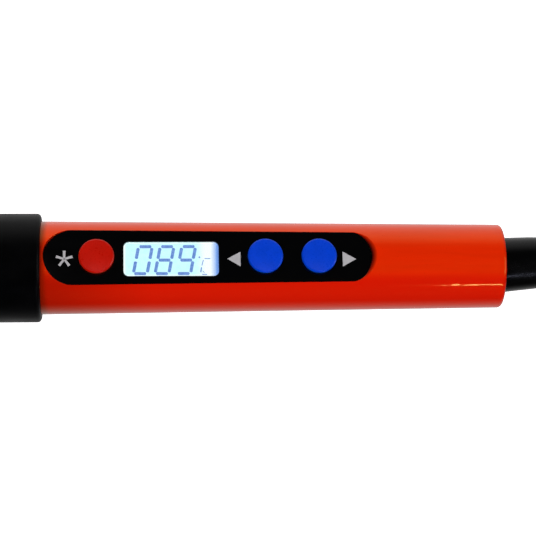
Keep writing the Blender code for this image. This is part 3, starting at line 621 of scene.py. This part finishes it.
def hank_points():
    """Six turns in two columns of three; each moves over to its next place along the -Y run."""
    points = []
    for number, (radius, layer) in enumerate(SLOTS):
        z = HANK_LOW + CORD_D * layer
        last = number == len(SLOTS) - 1
        next_radius, next_layer = (HANK_INNER, 0) if last else SLOTS[number + 1]
        next_z = TOP_Z if last else HANK_LOW + CORD_D * next_layer
        width = 34.0 if last else SHIFT
        start = RUN + FOLD + (-18.0 if last else -2.0 + SHIFT_STEP * (len(SLOTS) - 2 - number))
        for i in range(LAP_POINTS):
            distance = LAP * i / LAP_POINTS
            share = shift((distance - start) / width)
            points.append(on_lap(distance, radius + (next_radius - radius) * share, z + (next_z - z) * share))
    return points


LEAD = [(149.8, 0, 8.02), (153.5, 0.05, 7.7), (159.0, 1.0, 6.5), (164.2, 3.5, 5.0), (168.6, 6.9, 3.9),
        (173.0, 10.9, 3.35), (178.0, 15.1, 3.2), (183.4, 18.0, 3.2)]
TAIL = [(189.2, 14.4, 18.3), (196.0, 14.4, 18.35), (204.0, 14.4, 18.6), (212.0, 14.4, 18.85),
        (223.0, 14.3, 18.6), (234.0, 12.9, 18.3), (244.0, 8.2, 18.3), (253.0, 2.7, 18.3),
        (258.5, 0.35, 18.2), (PLUG_X - 0.1, 0, PLUG_Z)]


def mains_cord():
    exit_point = IRON @ Vector((BOOT_REAR, 0, 0))
    points = [exit_point, *LEAD, *hank_points(), *TAIL]
    data = bpy.data.curves.new("mains_cord", "CURVE")
    data.dimensions = "3D"
    data.bevel_depth = CORD_D / 2 * MM
    data.bevel_resolution = 6
    data.resolution_u = 6
    data.use_fill_caps = True
    spline = data.splines.new("BEZIER")
    spline.bezier_points.add(len(points) - 1)
    for knot, point in zip(spline.bezier_points, points):
        knot.co = Vector(point) * MM
        knot.handle_left_type = knot.handle_right_type = "AUTO"
    made = bpy.data.objects.new("mains_cord", data)
    bpy.context.scene.collection.objects.link(made)
    data.materials.append(FINISHES["cord_jacket"])
    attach(made, "handle")
    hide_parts("cord_lead", "cord_hank", "cord_tail")
    return made, exit_point * MM


def tie(number):
    """A woven strap once round one side of the hank."""
    side = 1 if number == 1 else -1
    wide, tall = 2 * CORD_D + 0.6, 3 * CORD_D + 0.6
    centre_y, centre_z = side * HANK_MEAN, HANK_Z + 1.5 * CORD_D
    middle_x = (HANK_NEAR + HANK_FAR) / 2
    centre = (centre_y, centre_z)
    inner = [(0, *point) for point in rounded(centre, wide, tall, 2.2, 8)]
    outer = [(0, *point) for point in rounded(centre, wide + 2 * TIE_T, tall + 2 * TIE_T, 2.6, 8)]
    rows = []
    for x, share in ((-TIE_W / 2, 0), (-TIE_W / 2, 1), (TIE_W / 2, 1), (TIE_W / 2, 0)):
        rows.append([(middle_x + x, *(a + (b - a) * share for a, b in zip(i[1:], o[1:])))
                     for i, o in zip(inner, outer)])
    made = add(f"strap_{number}", skin(rows, loop=True), Matrix())
    ease(made, 0.15, 2, 50)
    return show(made, "tie_fabric", stands_for=[f"cord_tie_{number}"], angle=50)


def plug():
    """The moulded plug: a ribbed neck and shoulder, a round body with two side grooves, and its face."""
    end, r = PLUG_END, PLUG_R
    neck = [(PLUG_X, 0), (PLUG_X, 4.4), (PLUG_X + 0.5, 5.0)]
    for i in range(4):
        x = PLUG_X + 0.9 + 1.7 * i
        neck += [(x, 5.3), (x + 0.9, 5.35), (x + 1.05, 4.85), (x + 1.55, 4.85)]
    shoulder = [(PLUG_X + 9.0, 6.4), (PLUG_X + 9.7, 8.6), (PLUG_X + 10.6, 11.6), (PLUG_X + 12.0, 14.4),
                (PLUG_X + 13.8, 16.5), (PLUG_X + 16.0, 17.8), (PLUG_X + 18.4, 18.4), (PLUG_X + 20.0, r)]
    edge = [(end - 1.0 + math.sin(t), r - 1.0 + math.cos(t)) for t in (0, 0.4, 0.8, 1.2, math.pi / 2)]
    face = [(end, 12.6), (end - 0.3, 12.3), (end - 0.3, 0)]
    place = Matrix.Translation((0, 0, PLUG_Z))
    body = add("plug_moulding", lathe([*neck, *shoulder, *edge, *face], 128), place)
    for side in (1, -1):
        groove = rounded((end - 3.0, 0), 34, 6.6, 1.2, 4)
        low, high = sorted((side * (r - 3.1), side * (r + 2)))
        cut(body, prism(groove, low, high), place)
        across = Matrix.Translation((end - 16.0, 0, PLUG_Z)) @ Matrix.Rotation(-side * math.pi / 2, 4, "X")
        for spot in (-4.4, 0, 4.4):
            rib = rounded((spot, 0), 1.5, 15.0, 0.7, 6)
            cut(body, prism(rib, r - 0.55, r + 2), across)
    ease(body, 0.25, 2, 40)
    return show(body, "plug_plastic", stands_for=["plug_body"], angle=40)


cord, cord_exit = mains_cord()
plug_body = plug()
ties = [tie(1), tie(2)]


# ---- Handle ----

def tube_radius(x):
    return TUBE_R - TUBE_TAPER * x


def panel_edge(steps=48):
    """The recess's outline as (x, y, outward x, outward y, rim radius, wall height over the panel)."""
    points = []
    ends = ((PANEL_REAR - PANEL_HALF_REAR, PANEL_HALF_REAR, -90),
            (PANEL_FRONT + PANEL_HALF_FRONT, PANEL_HALF_FRONT, 90))
    for centre, radius, start in ends:
        for i in range(steps + 1):
            t = math.radians(start + 180 * i / steps)
            x, y = centre + radius * math.cos(t), radius * math.sin(t)
            height = math.sqrt(tube_radius(x) ** 2 - y * y) - (PANEL_H - PANEL_FALL * x)
            rim = max(0.02, min(RIM_R_REAR if start < 0 else RIM_R_FRONT, RIM_SHARE * height))
            points.append((x, y, math.cos(t), math.sin(t), rim, max(0.02, height)))
    return points


def recess_cutter():
    """The recess with its rim rounded over: rings from the floor up the wall and out past the surface."""
    edge = panel_edge()
    rings = [[(x - rim * u, y - rim * v, -RECESS_DEPTH) for x, y, u, v, rim, _ in edge]]
    for degrees in (0, 15, 30, 45, 60, 75):
        t = math.radians(degrees)
        rings.append([(x - rim * math.cos(t) * u, y - rim * math.cos(t) * v, height - rim + rim * math.sin(t))
                      for x, y, u, v, rim, height in edge])
    for out, up in ((0.22, 0.1), (0.22, 6.0)):
        rings.append([(x + rim * out * u, y + rim * out * v, height + rim * up if up < 1 else height + up)
                      for x, y, u, v, rim, height in edge])
    return skin(rings)


def handle_tube():
    rear_r, inner_rear = tube_radius(TUBE_REAR), TUBE_REAR - REAR_WALL
    edge = [(TUBE_REAR - TUBE_EDGE + TUBE_EDGE * math.cos(t), rear_r - TUBE_EDGE + TUBE_EDGE * math.sin(t))
            for t in [math.pi / 2 * i / 8 for i in range(9)]]
    lip = [(TUBE_REAR - 0.3 + 0.3 * math.cos(t), REAR_HOLE_R + 0.3 - 0.3 * math.sin(t))
           for t in [math.pi / 2 * (1 - i / 4) for i in range(5)]]
    front_r = tube_radius(TUBE_FRONT)
    outline = [*lip, *edge, (TUBE_FRONT + 0.3, front_r), (TUBE_FRONT, front_r - 0.3),
               (TUBE_FRONT, front_r - TUBE_WALL), (inner_rear, tube_radius(inner_rear) - TUBE_WALL),
               (inner_rear, REAR_HOLE_R)]
    tube = add("handle_tube", lathe(outline, 192, loop=True), IRON)
    cut(tube, recess_cutter(), PANEL)
    cut(tube, prism(rounded((39.4, 0), 72, 11.0, 4.5), -8, 0.5), PANEL)
    show(tube, "orange_plastic", stands_for=["housing_tube"], angle=28)


def panel_plate():
    outline = [(x - (rim + FIT) * u, y - (rim + FIT) * v) for x, y, u, v, rim, _ in panel_edge()]
    plate = add("panel_plate", prism(outline, -PANEL_T, 0), PANEL)
    for x in BUTTONS.values():
        cut(plate, prism(arc((x, 0), BUTTON_R + 0.16, 0, 354, 59), -3, 3), PANEL)
    cut(plate, prism(rounded(WINDOW, *WINDOW_SIZE, WINDOW_CORNER), -3, 3), PANEL)
    ease(plate, 0.1, 3, 50)
    show(plate, "panel_black", stands_for=["panel_fascia"])


def printed(name, shapes, finish="white_print", low=0.0):
    """Flat marks a hair above the surface they are printed on; each shape is a list of (x, y)."""
    bm = bmesh.new()
    for shape in shapes:
        part = prism(shape, low - PRINT_T, low + PRINT_T)
        mesh = bpy.data.meshes.new("part")
        part.to_mesh(mesh)
        part.free()
        bm.from_mesh(mesh)
        bpy.data.meshes.remove(mesh)
    show(add(name, bm, PANEL), finish)


def star():
    """Five arms, one of them up, a little wider outwards."""
    centre, reach, root, tip = Vector((5.62, -0.4)), 2.0, 0.22, 0.33
    arms = []
    for i in range(5):
        t = math.pi / 2 + math.tau * i / 5
        out, side = Vector((math.cos(t), math.sin(t))), Vector((-math.sin(t), math.cos(t)))
        arms.append([centre + side * root, centre - side * root, centre + out * reach - side * tip,
                     centre + out * reach + side * tip])
    printed("star_mark", arms)


def bar(start, end, width, cut_off=0.22):
    """A straight stroke with its corners cut, as display segments have."""
    a, b = Vector(start), Vector(end)
    out = (b - a).normalized()
    side = Vector((-out.y, out.x)) * width / 2
    tip = out * width * cut_off
    return [a + side + tip, a + side * 0.3, a - side * 0.3, a - side + tip,
            b - side - tip, b - side * 0.3, b + side * 0.3, b + side - tip]


def digit_strokes(x, segments):
    """The strokes of one slanted seven-segment digit whose middle is at x."""
    def spot(across, up):
        return x + across + SLANT * up, DIGIT_Y + up

    half, rise, gap, flat = DIGIT_HALF, DIGIT_RISE, 0.3, DIGIT_HALF - 0.22
    ends = {"a": ((-flat, rise), (flat, rise)), "g": ((-flat, 0), (flat, 0)),
            "d": ((-flat, -rise), (flat, -rise)),
            "f": ((-half, gap), (-half, rise - gap)), "b": ((half, gap), (half, rise - gap)),
            "e": ((-half, -gap), (-half, gap - rise)), "c": ((half, -gap), (half, gap - rise))}
    return [bar(spot(*ends[s][0]), spot(*ends[s][1]), STROKE) for s in segments]


def display():
    """The lit display under its window, with its digits and unit sign."""
    length, width, thick = LCD_SIZE
    shape = rounded((WINDOW[0], 0), length, width, 0.4, 4)
    cell = add("lcd_panel", prism(shape, -LCD_DEPTH - thick, -LCD_DEPTH), PANEL)
    ease(cell, 0.08, 2, 50)
    show(cell, "lcd_cell", stands_for=["lcd_glass"])
    strokes = []
    for i, digit in enumerate(READING):
        strokes += digit_strokes(DIGIT_X + DIGIT_PITCH * i, DIGITS[digit])
    strokes.append(arc((37.03, 0.18), 0.22, 0, 330, 11))
    strokes += [bar((38.2, -0.15), (39.6, -0.15), 0.2), bar((37.95, -0.45), (37.6, -1.85), 0.2),
                bar((37.5, -2.25), (37.3, -3.5), 0.28), bar((37.75, -3.1), (38.15, -3.6), 0.14),
                bar((37.6, -3.98), (38.8, -3.98), 0.22)]
    printed("lcd_digits", strokes, "lcd_segment", -LCD_DEPTH)
    printed("lcd_side_strip", [rounded((41.0, WINDOW[1]), 2.6, 9.2, 0.1, 2)], "lcd_strip", -LCD_DEPTH)
    shape = rounded(WINDOW, WINDOW_SIZE[0] - FIT, WINDOW_SIZE[1] - FIT, WINDOW_CORNER)
    lens = add("window_lens", prism(shape, -0.55, -0.1), PANEL)
    ease(lens, 0.06, 2, 50)
    show(lens, "clear_lens", stands_for=["display_lens"])


def button(name, x):
    """A crowned cap with a rounded edge, on a narrower neck with the flange that holds it under the panel."""
    side_top = BUTTON_TOP - BUTTON_DOME - BUTTON_EDGE
    crown = [(BUTTON_TOP - BUTTON_DOME * s ** 2, (BUTTON_R - BUTTON_EDGE) * s)
             for s in [i / 12 for i in range(12)]]
    edge = [(side_top + BUTTON_EDGE * math.cos(t), BUTTON_R - BUTTON_EDGE + BUTTON_EDGE * math.sin(t))
            for t in [math.pi / 2 * i / 8 for i in range(9)]]
    neck = [(side_top - 0.12, BUTTON_R), (side_top - 0.2, BUTTON_R - 0.08), (side_top - 0.2, BUTTON_NECK_R)]
    flange = [(-1.3, BUTTON_NECK_R), (-1.3, 4.9), (-1.9, 4.9), (-1.9, 2.2), (-2.8, 2.2), (-2.8, 0)]
    place = PANEL @ Matrix.Translation((x, 0, 0)) @ STAND
    cap = add(f"{name}_cap", lathe([*crown, *edge, *neck, *flange], 96), place)
    show(cap, "red_button" if name == "power" else "blue_button", body=f"{name}_key",
         stands_for=[f"{name}_button"], angle=40)


def guard_radius(x, turn):
    """The roll guard's radius at an angle about the handle: eight flats, one level with the floor."""
    flat = GUARD_FLAT - (x - GUARD_REAR) * math.tan(LIE)
    part = math.tau / GUARD_SIDES
    off = (turn + math.pi / 2 + part / 2) % part - part / 2
    return min(GUARD_R, flat / math.cos(off))


def grip():
    """The rubber sleeve: collar, fluted waist, and the roll guard that keeps the iron from rolling."""
    steps = 240
    turns = [math.tau * i / steps for i in range(steps)]
    rings = []

    def ring(x, radius):
        rings.append([(x, radius(t) * math.cos(t), radius(t) * math.sin(t)) for t in turns])

    for t in [math.pi / 2 * i / 8 for i in range(9)]:
        ring(COLLAR_REAR - 1.0 + math.cos(t), lambda _, r=GRIP_R - 1.0 + math.sin(t): r)
    length = -GUARD_REAR - 13
    for i in range(25):
        x = -10.0 - 25.0 * i / 24
        waist = GRIP_R - (GRIP_R - GRIP_WAIST_R) * math.sin(math.pi * min(1.0, (-x - 10) / length / 1.6)) ** 2
        depth = 0.45 * shift(min(i, 24 - i) / 4)
        ring(x, lambda t, r=waist, d=depth: r - d * max(0.0, math.cos(12 * t)) ** 2)
    foot = rings[-1]
    foot_r = math.hypot(foot[0][1], foot[0][2])
    for i in range(1, 9):
        s = i / 8
        x = -35.0 - 5.0 * s
        ring(x, lambda t, s=s, x=x: foot_r + (guard_radius(x, t) - 0.9 - foot_r) * s ** 3.2)
    for t in [math.pi / 2 * i / 4 for i in range(1, 4)]:
        ring(GUARD_REAR - 0.9 * math.sin(t),
             lambda a, t=t: guard_radius(GUARD_REAR, a) - 0.9 * (1 - math.sin(t)))
    ring(GUARD_REAR - 0.9, lambda a: guard_radius(GUARD_REAR - 0.9, a))
    for t in [math.pi / 2 * i / 4 for i in range(5)]:
        x = TUBE_FRONT + 0.9 - 0.9 * math.sin(t)
        ring(x, lambda a, t=t, x=x: guard_radius(x, a) - 0.9 * (1 - math.cos(t)))
    ring(TUBE_FRONT, lambda _: tube_radius(TUBE_FRONT) + 0.05)
    ring(COLLAR_REAR, lambda _: tube_radius(COLLAR_REAR) + 0.05)
    show(add("grip", skin(rings, loop=True), IRON), "grip_rubber", stands_for=["grip_sleeve"], angle=60)


def boot():
    """The strain relief, swayed to one side: smooth at the handle, then ribs that let it bend."""
    smooth_end, ribs, first_r, tip_r = 120.0, 6, 6.5, 4.3
    outline = [(105.3, 0), (105.3, 7.9), (105.5, 8.1), (106.3, 8.1), (106.5, 7.9), (106.5, 6.6)]
    outline += [(TUBE_REAR, 6.55), (112.0, 6.42), (116.0, 6.28), (smooth_end - 0.4, 6.05), (smooth_end, 5.8)]
    pitch = (BOOT_REAR - 3.2 - smooth_end) / ribs
    for i in range(ribs):
        x = smooth_end + pitch * i
        for at, drop in ((0.1, 0.85), (0.3, 0.85), (0.4, 0.2), (0.5, 0.0), (0.85, 0.05), (0.97, 0.3)):
            share = (x + at * pitch - smooth_end) / (BOOT_REAR - smooth_end)
            outline.append((x + at * pitch, (1 - share) * (first_r - 0.5) + share * tip_r - drop))
    outline += [(BOOT_REAR - 3.0, 3.9), (BOOT_REAR - 2.7, 4.35), (BOOT_REAR - 1.0, tip_r),
                (BOOT_REAR - 0.5, 4.1), (BOOT_REAR - 0.3, 3.7), (BOOT_REAR - 0.3, 0)]
    shape = lathe(outline, 96)
    for point in shape.verts:
        share = max(0.0, (point.co.x - BOOT_LEAN_X) / (BOOT_REAR - BOOT_LEAN_X))
        point.co.y += BOOT_SWAY * math.sin(math.pi * share)
    show(add("cord_boot", shape, IRON), "boot_rubber", stands_for=["strain_relief_boot"], angle=50)


# ---- Heater ----

def barrel():
    """The vented barrel: flange, drawn fillet, body, and the nose that holds the shank."""
    inner, nose = BARREL_R - 0.7, SHANK_R + 0.3
    fillet = [(FLANGE_FRONT - 0.2 + 0.2 * math.cos(t), BARREL_R + 0.2 - 0.2 * math.sin(t))
              for t in (0, 0.5, 1.0, math.pi / 2)]
    outline = [(FLANGE_REAR, FLANGE_R - 0.15), (FLANGE_REAR - 0.15, FLANGE_R), (FLANGE_FRONT + 0.2, FLANGE_R),
               (FLANGE_FRONT, FLANGE_R - 0.2), *fillet, (BARREL_FRONT + 0.9, BARREL_R),
               (BARREL_FRONT + 0.3, BARREL_R - 0.25), (BARREL_FRONT, BARREL_R - 0.7), (BARREL_FRONT, nose),
               (-86.0, nose), (-86.0, inner), (FLANGE_REAR, inner)]
    made = add("barrel", lathe(outline, 96, loop=True), IRON)
    for i in range(3):
        t = math.pi / 2 + math.tau * i / 3
        hole = arc((SCREW_RING_R * math.cos(t), SCREW_RING_R * math.sin(t)), 1.3, 0, 345, 23)
        cut(made, skin([[(x, a, b) for a, b in hole] for x in (-44, -52)]), IRON)
    for row, x in enumerate((-55.0, -61.0)):
        for i in range(3):
            turn = Matrix.Rotation(math.pi * i / 3 + row * math.pi / 6, 4, "X")
            cut(made, prism(arc((x, 0), 1.5, 0, 348, 29), -9, 9), IRON @ turn)
    cut(made, prism(arc((TIP_SCREW_X, 0), 1.5, 0, 345, 23), 0, 9), IRON)
    ease(made, 0.08, 2, 40)
    show(made, "stainless", stands_for=["heater_barrel"])


def sole():
    """The sole: toe rounded in plan, edges eased, with the web and socket on its back."""
    length, width, thick = SOLE_SIZE
    made = add("sole", prism(rounded((0, 0), length, width, 4.0, 8, front=13.0), -thick / 2, thick / 2), SOLE)
    ease(made, 1.0, 4, 50)
    web = add("web", prism(rounded((4.5, 0), 21, 9, 1.5, 6), -1.0, thick / 2 + 7.0), SOLE)
    ease(web, 0.8, 3, 50)
    step = made.modifiers.new("join", "BOOLEAN")
    step.object, step.operation, step.solver = web, "UNION", "EXACT"
    settle(made)
    bpy.data.objects.remove(web)
    rear = -101.0
    boss = [(rear, 0), (rear, BOSS_R - 0.8), (rear - 0.25, BOSS_R - 0.25), (rear - 0.8, BOSS_R),
            (rear - 23.2, BOSS_R), (rear - 23.75, BOSS_R - 0.25), (rear - 24, BOSS_R - 0.8), (rear - 24, 0)]
    cut(made, lathe(boss, 96), IRON, "UNION")
    socket = [(rear + 5, 0), (rear + 5, SHANK_R + 0.3), (rear - 18, SHANK_R + 0.3), (rear - 18, 0)]
    cut(made, lathe(socket, 64), IRON)
    cut(made, prism(arc((SOLE_SCREW_X, 0), 1.8, 0, 345, 23), 0, 12), IRON)
    ease(made, 0.2, 2, 45)
    show(made, "sole_aluminium", stands_for=["sole_plate"], angle=40)


handle_tube()
panel_plate()
star()
printed("arrow_left", [[(43.5, -0.41), (46.6, 1.29), (46.6, -2.29)]])
printed("arrow_right", [[(70.55, 1.28), (70.55, -2.38), (73.71, -0.56)]])
display()
for label, along in BUTTONS.items():
    button(label, along)
grip()
boot()
barrel()
sole()


# ---- CAD nodes kept ----

for part in frame["record"]["subparts"]:
    node = nodes[part["node"]]
    node.data.materials.clear()
    node.data.materials.append(FINISHES[part["material_slot"]])
    smooth(node, 35)


# ---- Stage ----

def world():
    """Soft light from the +Y side and from the floor, with the rest of the room dark."""
    made = bpy.data.worlds.new("studio")
    bpy.context.scene.world = made
    made.use_nodes = True
    tree = made.node_tree
    where, parts = tree.nodes.new("ShaderNodeTexCoord"), tree.nodes.new("ShaderNodeSeparateXYZ")
    tree.links.new(where.outputs["Generated"], parts.inputs["Vector"])

    def ramp(axis, start, end, low, high):
        node = tree.nodes.new("ShaderNodeMapRange")
        node.interpolation_type = "SMOOTHSTEP"
        tree.links.new(parts.outputs[axis], node.inputs["Value"])
        for name, number in (("From Min", start), ("From Max", end), ("To Min", low), ("To Max", high)):
            node.inputs[name].default_value = number
        return node.outputs["Result"]

    def combine(operation, a, b):
        node = tree.nodes.new("ShaderNodeMath")
        node.operation = operation
        tree.links.new(a, node.inputs[0])
        tree.links.new(b, node.inputs[1])
        return node.outputs[0]

    glow = combine("MULTIPLY", ramp("Y", 0.4, 1.0, 0.0, 1.05), ramp("Z", 0.25, 0.97, 1.0, 0.0))
    level = combine("ADD", ramp("Z", -1.0, -0.4, 0.65, 0.025), glow)
    tree.links.new(level, tree.nodes["Background"].inputs["Strength"])
    tree.nodes["Background"].inputs["Color"].default_value = (1, 1, 1, 1)


def softbox(name, place, aim, size, power, glossy=True, diffuse=True, colour=(1, 1, 1)):
    data = bpy.data.lights.new(name, "AREA")
    data.shape, data.size, data.size_y, data.energy = "RECTANGLE", size[0], size[1], power
    data.color = colour
    made = bpy.data.objects.new(name, data)
    bpy.context.scene.collection.objects.link(made)
    made.location = place
    made.rotation_euler = (Vector(aim) - Vector(place)).to_track_quat("-Z", "Y").to_euler()
    made.visible_glossy, made.visible_diffuse = glossy, diffuse


def floor():
    bm = bmesh.new()
    bmesh.ops.create_grid(bm, x_segments=1, y_segments=1, size=12)
    mesh = bpy.data.meshes.new("floor")
    bm.to_mesh(mesh)
    bm.free()
    made = bpy.data.objects.new("floor", mesh)
    bpy.context.scene.collection.objects.link(made)
    n = Nodes("floor_white")
    n.finish(Base_Color=(0.85, 0.85, 0.85), Roughness=0.9, Emission_Color=(1, 1, 1), Emission_Strength=1.0)
    made.data.materials.append(n.material)
    made.location.z = -0.0002
    made.visible_glossy = made.visible_diffuse = made.visible_shadow = made.visible_transmission = False


world()
floor()
softbox("key", (0.05, -0.28, 0.96), (0.05, 0, 0), (0.8, 0.6), 7.0, glossy=False)
softbox("fill_far", (0.05, 0.86, 0.52), (0.05, 0, 0), (0.8, 0.5), 1.6, glossy=False)
softbox("fill_near", (0.35, -0.95, 0.05), (0.05, 0, 0), (0.8, 0.5), 2.9, glossy=False)
softbox("panel_sheen", (-0.162, 0.29, 1.0), (0, 0, 0), (0.28, 0.4), 0.052)
softbox("streak", (0.406, -0.93, 0.385), (0.1, 0, 0.01), (0.25, 0.014), 0.8, colour=(0.72, 0.75, 1.0))
softbox("streak_tail", (0.255, -0.93, 0.385), (0.1, 0, 0.01), (0.03, 0.012), 0.001)
softbox("window", (1.02, -0.12, 0.36), (0.1, 0, 0.02), (0.6, 0.3), 3.0, diffuse=False)
bpy.context.scene.view_settings.view_transform = "Standard"
